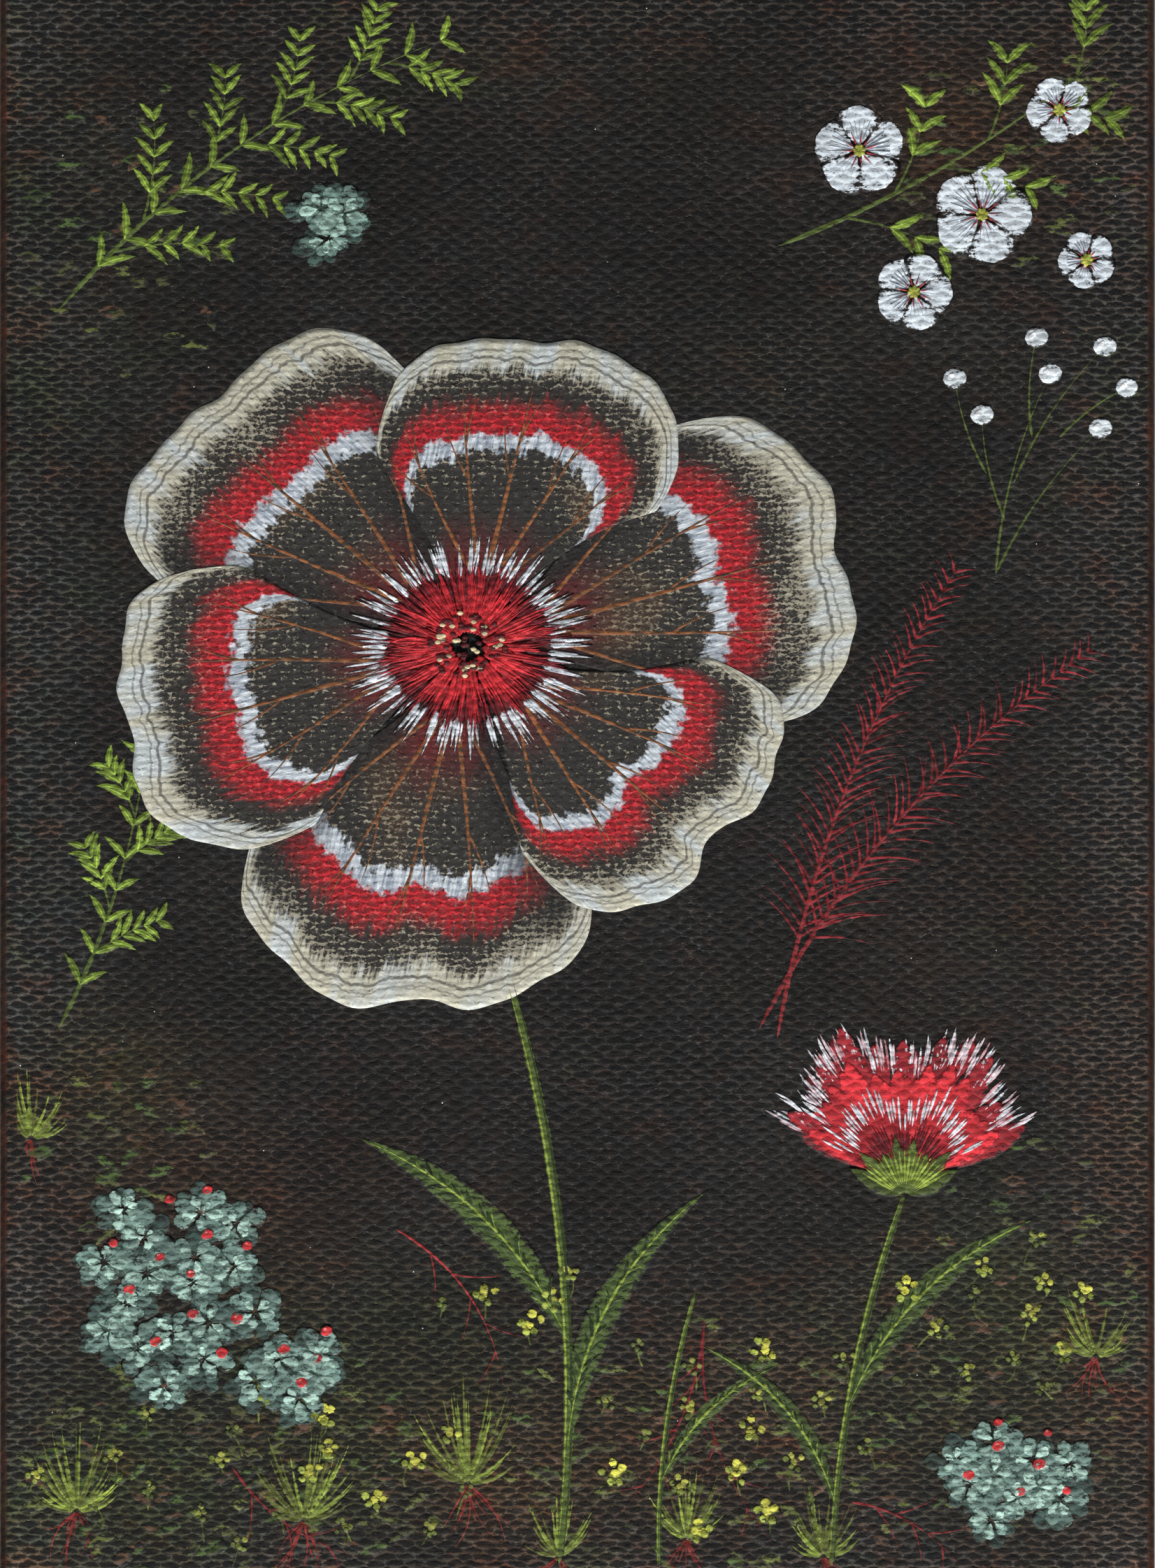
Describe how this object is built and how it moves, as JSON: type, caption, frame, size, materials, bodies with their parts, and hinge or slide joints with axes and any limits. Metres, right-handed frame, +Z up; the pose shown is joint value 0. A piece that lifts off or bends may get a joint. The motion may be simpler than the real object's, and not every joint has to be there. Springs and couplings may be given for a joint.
{
  "type": "stretched canvas painting",
  "caption": "Small painted canvas on a pine stretcher frame, folded and stapled behind; it stands on its lower edge or hangs by its top bar.",
  "frame": {"origin": "under the middle of the canvas, on the plane of its lower edge, at half its depth", "axes": "+Z up along the long side, +X to the right as seen from the front, the painted face towards -Y"},
  "size_m": [0.127, 0.02, 0.1778],
  "materials": {
    "painted_cloth": "acrylic paint on primed cotton duck, satin, with a plain weave that shows",
    "pine": "planed and unfinished",
    "key_wood": "sawn and unfinished",
    "staple_steel": "bright zinc-coated wire"
  },
  "bodies": {
    "root": {"canvas": "painted_cloth", "bar_top": "pine", "bar_bottom": "pine", "bar_left": "pine", "bar_right": "pine", "key_top_left_1": "key_wood", "key_top_left_2": "key_wood", "key_top_right_1": "key_wood", "key_top_right_2": "key_wood", "key_bottom_left_1": "key_wood", "key_bottom_left_2": "key_wood", "key_bottom_right_1": "key_wood", "key_bottom_right_2": "key_wood", "staple_left_1": "staple_steel", "staple_left_2": "staple_steel", "staple_left_3": "staple_steel", "staple_left_4": "staple_steel", "staple_right_1": "staple_steel", "staple_right_2": "staple_steel", "staple_right_3": "staple_steel", "staple_right_4": "staple_steel", "staple_top_1": "staple_steel", "staple_top_2": "staple_steel", "staple_bottom_1": "staple_steel", "staple_bottom_2": "staple_steel", "staple_corner_top_left": "staple_steel", "staple_corner_top_right": "staple_steel", "staple_corner_bottom_left": "staple_steel", "staple_corner_bottom_right": "staple_steel"}
  },
  "joints": []
}
